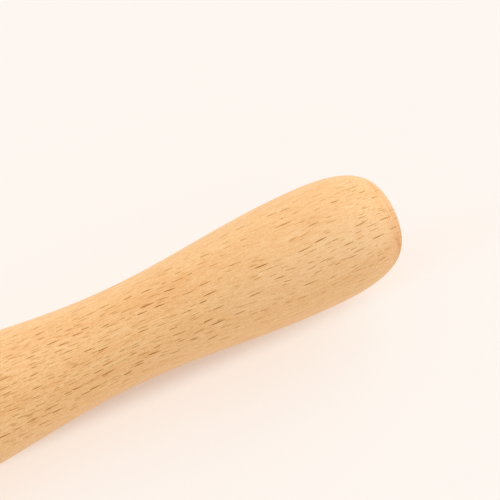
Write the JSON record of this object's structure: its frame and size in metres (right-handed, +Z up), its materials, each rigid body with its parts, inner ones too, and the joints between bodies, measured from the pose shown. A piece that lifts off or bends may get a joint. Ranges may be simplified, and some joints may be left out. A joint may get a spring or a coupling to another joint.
{
  "type": "parting tool",
  "caption": "Woodturner's parting tool: a narrow parallel steel blade with two ground bevels, tanged into a turned beech handle with a brass ferrule.",
  "frame": {"origin": "below the middle of the whole tool, on the surface that it lies on", "axes": "+X from the butt of the handle towards the cutting edge, +Y across the blade, +Z up; the tool lies on its belly and its point, so its own axis drops 4.1 degrees towards +X"},
  "size_m": [0.404, 0.0376, 0.046],
  "materials": {
    "beech": "semi-matt lacquer over turned and sanded beech, with short brown flecks along the grain",
    "brass": "turned and lightly polished",
    "tool_steel": "ground along its length, with finer ground bevels"
  },
  "bodies": {
    "root": {"handle": "beech", "ferrule": "brass", "blade": "tool_steel"}
  },
  "joints": []
}
